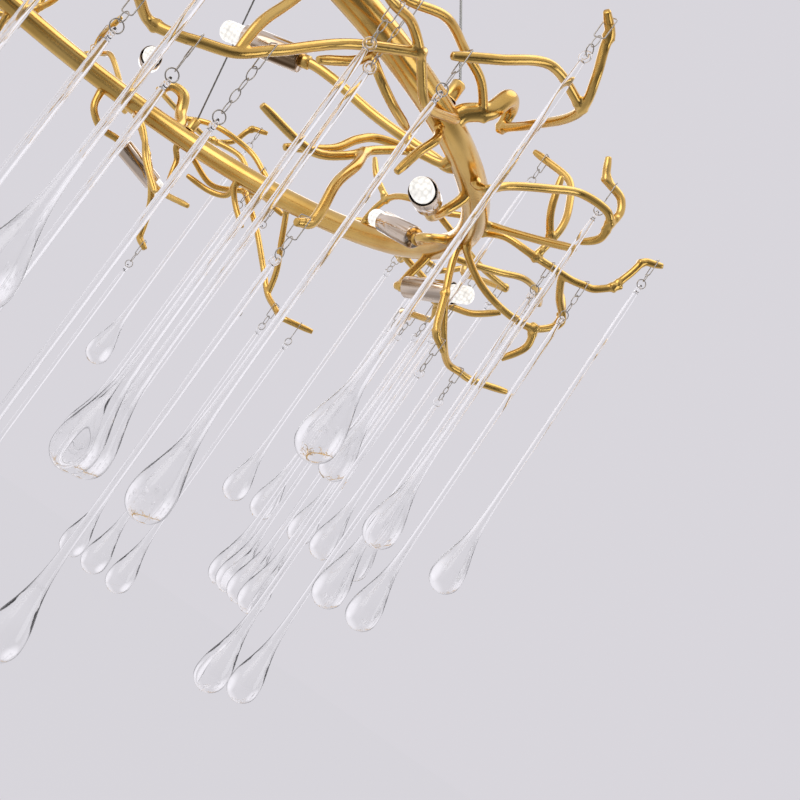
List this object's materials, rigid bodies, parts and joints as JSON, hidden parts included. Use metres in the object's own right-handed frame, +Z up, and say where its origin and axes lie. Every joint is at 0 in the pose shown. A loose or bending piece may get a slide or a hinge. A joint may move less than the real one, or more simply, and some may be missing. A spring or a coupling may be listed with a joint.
{
  "type": "crystal_chandelier",
  "caption": "Round branch chandelier: a thin gold ring on steel cables with twig branches, small mirror-cup lamps and long clear glass drops that swing on wire loops.",
  "frame": {"origin": "the middle of the canopy's rim on the ceiling; the ring hangs below it", "axes": "+Z up, away from the room; -Y towards the viewer of the picture; +X to the viewer's right"},
  "size_m": [0.9528, 0.9082, 0.873],
  "materials": {
    "satin_gold": "satin",
    "bright_wire": "polished",
    "steel_cable": "satin",
    "zinc_steel": "satin",
    "mirror_metal": "mirror",
    "white_ceramic": "matte",
    "white_plastic": "matte",
    "frosted_glass": "frosted",
    "clear_glass": "clear"
  },
  "bodies": {
    "frame": {"ceiling_bracket": "zinc_steel", "canopy": "satin_gold", "canopy_screws": "satin_gold", "terminal_block": "white_plastic", "cable_grippers": "satin_gold", "suspension_cables": "steel_cable", "cable_anchors": "satin_gold", "ring_tube": "satin_gold", "lamp_arms": "satin_gold", "lamp_cups": "mirror_metal", "lamp_holders": "white_ceramic", "lamp_bulbs": "frosted_glass", "branches_front_a": "satin_gold", "branches_outer_a": "satin_gold", "branches_lower_a": "satin_gold", "hanging_wires_a": "bright_wire", "branches_front_b": "satin_gold", "branches_outer_b": "satin_gold", "branches_lower_b": "satin_gold", "hanging_wires_b": "bright_wire", "branches_front_c": "satin_gold", "branches_outer_c": "satin_gold", "branches_lower_c": "satin_gold", "hanging_wires_c": "bright_wire"},
    "reach_tip_a": {"drop_reach_tip_a": "clear_glass"},
    "loop_tip_a": {"drop_loop_tip_a": "clear_glass"},
    "loop_end_a": {"drop_loop_end_a": "clear_glass"},
    "rise_tip_a": {"drop_rise_tip_a": "clear_glass"},
    "arch_end_a": {"drop_arch_end_a": "clear_glass"},
    "reach_pair_a": {"drop_reach_pair_a": "clear_glass"},
    "spur_pair_a": {"drop_spur_pair_a": "clear_glass"},
    "front_pair_a": {"drop_front_pair_a": "clear_glass"},
    "down_pair_a": {"drop_down_pair_a": "clear_glass"},
    "far_pair_a": {"drop_far_pair_a": "clear_glass"},
    "crown_row_a": {"drop_crown_row_a": "clear_glass"},
    "pendant_tip_a": {"drop_pendant_tip_a": "clear_glass"},
    "reach_tip_b": {"drop_reach_tip_b": "clear_glass"},
    "loop_tip_b": {"drop_loop_tip_b": "clear_glass"},
    "loop_end_b": {"drop_loop_end_b": "clear_glass"},
    "rise_tip_b": {"drop_rise_tip_b": "clear_glass"},
    "arch_end_b": {"drop_arch_end_b": "clear_glass"},
    "reach_pair_b": {"drop_reach_pair_b": "clear_glass"},
    "spur_pair_b": {"drop_spur_pair_b": "clear_glass"},
    "front_pair_b": {"drop_front_pair_b": "clear_glass"},
    "down_pair_b": {"drop_down_pair_b": "clear_glass"},
    "far_pair_b": {"drop_far_pair_b": "clear_glass"},
    "crown_row_b": {"drop_crown_row_b": "clear_glass"},
    "pendant_tip_b": {"drop_pendant_tip_b": "clear_glass"},
    "reach_tip_c": {"drop_reach_tip_c": "clear_glass"},
    "loop_tip_c": {"drop_loop_tip_c": "clear_glass"},
    "loop_end_c": {"drop_loop_end_c": "clear_glass"},
    "rise_tip_c": {"drop_rise_tip_c": "clear_glass"},
    "arch_end_c": {"drop_arch_end_c": "clear_glass"},
    "reach_pair_c": {"drop_reach_pair_c": "clear_glass"},
    "spur_pair_c": {"drop_spur_pair_c": "clear_glass"},
    "front_pair_c": {"drop_front_pair_c": "clear_glass"},
    "down_pair_c": {"drop_down_pair_c": "clear_glass"},
    "far_pair_c": {"drop_far_pair_c": "clear_glass"},
    "crown_row_c": {"drop_crown_row_c": "clear_glass"},
    "pendant_tip_c": {"drop_pendant_tip_c": "clear_glass"}
  },
  "joints": [
    {"name": "swing_reach_tip_a", "type": "hinge", "parent": "frame", "child": "reach_tip_a", "pos_m": [0.46891, 0.01775, -0.388], "axis": [0.9801, 0.1983, 0], "range_deg": [-8, 8]},
    {"name": "swing_loop_tip_a", "type": "hinge", "parent": "frame", "child": "loop_tip_a", "pos_m": [0.33571, -0.26367, -0.38], "axis": [-0.5678, -0.8232, 0], "range_deg": [-8, 8]},
    {"name": "swing_loop_end_a", "type": "hinge", "parent": "frame", "child": "loop_end_a", "pos_m": [0.27988, -0.28376, -0.46], "axis": [-0.914, -0.4058, 0], "range_deg": [-3, 8]},
    {"name": "swing_rise_tip_a", "type": "hinge", "parent": "frame", "child": "rise_tip_a", "pos_m": [0.40226, -0.07926, -0.392], "axis": [-0.9981, 0.0612, 0], "range_deg": [-6, 8]},
    {"name": "swing_arch_end_a", "type": "hinge", "parent": "frame", "child": "arch_end_a", "pos_m": [0.34769, 0.03188, -0.364], "axis": [-0.829, 0.5593, 0], "range_deg": [-6.5, 5]},
    {"name": "swing_reach_pair_a", "type": "hinge", "parent": "frame", "child": "reach_pair_a", "pos_m": [0.43065, 0.01089, -0.448], "axis": [-0.9244, -0.3815, 0], "range_deg": [-7, 8]},
    {"name": "swing_spur_pair_a", "type": "hinge", "parent": "frame", "child": "spur_pair_a", "pos_m": [0.36144, 0.00482, -0.549], "axis": [0.3834, 0.9236, 0], "range_deg": [-6.5, 6.5]},
    {"name": "swing_front_pair_a", "type": "hinge", "parent": "frame", "child": "front_pair_a", "pos_m": [0.2322, -0.29237, -0.46], "axis": [0.0701, 0.9975, 0], "range_deg": [-2.5, 6.5]},
    {"name": "swing_down_pair_a", "type": "hinge", "parent": "frame", "child": "down_pair_a", "pos_m": [0.16434, -0.32969, -0.555], "axis": [0.8648, 0.5021, 0], "range_deg": [-8, 6.5]},
    {"name": "swing_far_pair_a", "type": "hinge", "parent": "frame", "child": "far_pair_a", "pos_m": [0.3398, 0.19134, -0.492], "axis": [-0.3283, 0.9446, 0], "range_deg": [-3, 8]},
    {"name": "swing_crown_row_a", "type": "hinge", "parent": "frame", "child": "crown_row_a", "pos_m": [0.37937, 0.23035, -0.418], "axis": [-0.6267, 0.7793, 0], "range_deg": [-8, 2.5]},
    {"name": "swing_pendant_tip_a", "type": "hinge", "parent": "frame", "child": "pendant_tip_a", "pos_m": [0.24795, -0.2063, -0.578], "axis": [-0.5695, -0.822, 0], "range_deg": [-8, 8]},
    {"name": "swing_reach_tip_b", "type": "hinge", "parent": "frame", "child": "reach_tip_b", "pos_m": [-0.24982, 0.39722, -0.388], "axis": [-0.6618, 0.7497, 0], "range_deg": [-8, 8]},
    {"name": "swing_loop_tip_b", "type": "hinge", "parent": "frame", "child": "loop_tip_b", "pos_m": [0.06049, 0.42257, -0.38], "axis": [0.9968, -0.0801, 0], "range_deg": [-8, 8]},
    {"name": "swing_loop_end_b", "type": "hinge", "parent": "frame", "child": "loop_end_b", "pos_m": [0.1058, 0.38426, -0.46], "axis": [0.8084, -0.5886, 0], "range_deg": [-3, 8]},
    {"name": "swing_rise_tip_b", "type": "hinge", "parent": "frame", "child": "rise_tip_b", "pos_m": [-0.13249, 0.388, -0.392], "axis": [0.4461, -0.895, 0], "range_deg": [-6, 8]},
    {"name": "swing_arch_end_b", "type": "hinge", "parent": "frame", "child": "arch_end_b", "pos_m": [-0.20145, 0.28517, -0.364], "axis": [-0.0699, -0.9976, 0], "range_deg": [-6.5, 5]},
    {"name": "swing_reach_pair_b", "type": "hinge", "parent": "frame", "child": "reach_pair_b", "pos_m": [-0.22476, 0.36751, -0.448], "axis": [0.7926, -0.6097, 0], "range_deg": [-7, 8]},
    {"name": "swing_spur_pair_b", "type": "hinge", "parent": "frame", "child": "spur_pair_b", "pos_m": [-0.18489, 0.31061, -0.549], "axis": [-0.9915, -0.1298, 0], "range_deg": [-6.5, 6.5]},
    {"name": "swing_front_pair_b", "type": "hinge", "parent": "frame", "child": "front_pair_b", "pos_m": [0.1371, 0.34728, -0.46], "axis": [-0.8989, -0.4381, 0], "range_deg": [-2.5, 6.5]},
    {"name": "swing_down_pair_b", "type": "hinge", "parent": "frame", "child": "down_pair_b", "pos_m": [0.20335, 0.30717, -0.555], "axis": [-0.8672, 0.4979, 0], "range_deg": [-8, 6.5]},
    {"name": "swing_far_pair_b", "type": "hinge", "parent": "frame", "child": "far_pair_b", "pos_m": [-0.33561, 0.1986, -0.492], "axis": [-0.6539, -0.7566, 0], "range_deg": [-3, 8]},
    {"name": "swing_crown_row_b", "type": "hinge", "parent": "frame", "child": "crown_row_b", "pos_m": [-0.38918, 0.21336, -0.418], "axis": [-0.3615, -0.9324, 0], "range_deg": [-8, 2.5]},
    {"name": "swing_pendant_tip_b", "type": "hinge", "parent": "frame", "child": "pendant_tip_b", "pos_m": [0.05469, 0.31788, -0.578], "axis": [0.9966, -0.0822, 0], "range_deg": [-8, 8]},
    {"name": "swing_reach_tip_c", "type": "hinge", "parent": "frame", "child": "reach_tip_c", "pos_m": [-0.21909, -0.41496, -0.388], "axis": [-0.3183, -0.948, 0], "range_deg": [-8, 8]},
    {"name": "swing_loop_tip_c", "type": "hinge", "parent": "frame", "child": "loop_tip_c", "pos_m": [-0.3962, -0.1589, -0.38], "axis": [-0.429, 0.9033, 0], "range_deg": [-8, 8]},
    {"name": "swing_loop_end_c", "type": "hinge", "parent": "frame", "child": "loop_end_c", "pos_m": [-0.38568, -0.1005, -0.46], "axis": [0.1055, 0.9944, 0], "range_deg": [-3, 8]},
    {"name": "swing_rise_tip_c", "type": "hinge", "parent": "frame", "child": "rise_tip_c", "pos_m": [-0.26978, -0.30874, -0.392], "axis": [0.5521, 0.8338, 0], "range_deg": [-6, 8]},
    {"name": "swing_arch_end_c", "type": "hinge", "parent": "frame", "child": "arch_end_c", "pos_m": [-0.14624, -0.31705, -0.364], "axis": [0.8989, 0.4383, 0], "range_deg": [-6.5, 5]},
    {"name": "swing_reach_pair_c", "type": "hinge", "parent": "frame", "child": "reach_pair_c", "pos_m": [-0.20589, -0.3784, -0.448], "axis": [0.1318, 0.9913, 0], "range_deg": [-7, 8]},
    {"name": "swing_spur_pair_c", "type": "hinge", "parent": "frame", "child": "spur_pair_c", "pos_m": [-0.17655, -0.31542, -0.549], "axis": [0.6082, -0.7938, 0], "range_deg": [-6.5, 6.5]},
    {"name": "swing_front_pair_c", "type": "hinge", "parent": "frame", "child": "front_pair_c", "pos_m": [-0.3693, -0.05491, -0.46], "axis": [0.8288, -0.5595, 0], "range_deg": [-2.5, 6.5]},
    {"name": "swing_down_pair_c", "type": "hinge", "parent": "frame", "child": "down_pair_c", "pos_m": [-0.36769, 0.02252, -0.555], "axis": [0.0024, -1, 0], "range_deg": [-8, 6.5]},
    {"name": "swing_far_pair_c", "type": "hinge", "parent": "frame", "child": "far_pair_c", "pos_m": [-0.00419, -0.38994, -0.492], "axis": [0.9822, -0.188, 0], "range_deg": [-3, 8]},
    {"name": "swing_crown_row_c", "type": "hinge", "parent": "frame", "child": "crown_row_c", "pos_m": [0.00981, -0.44372, -0.418], "axis": [0.9882, 0.1531, 0], "range_deg": [-8, 2.5]},
    {"name": "swing_pendant_tip_c", "type": "hinge", "parent": "frame", "child": "pendant_tip_c", "pos_m": [-0.30263, -0.11158, -0.578], "axis": [-0.4271, 0.9042, 0], "range_deg": [-8, 8]}
  ]
}
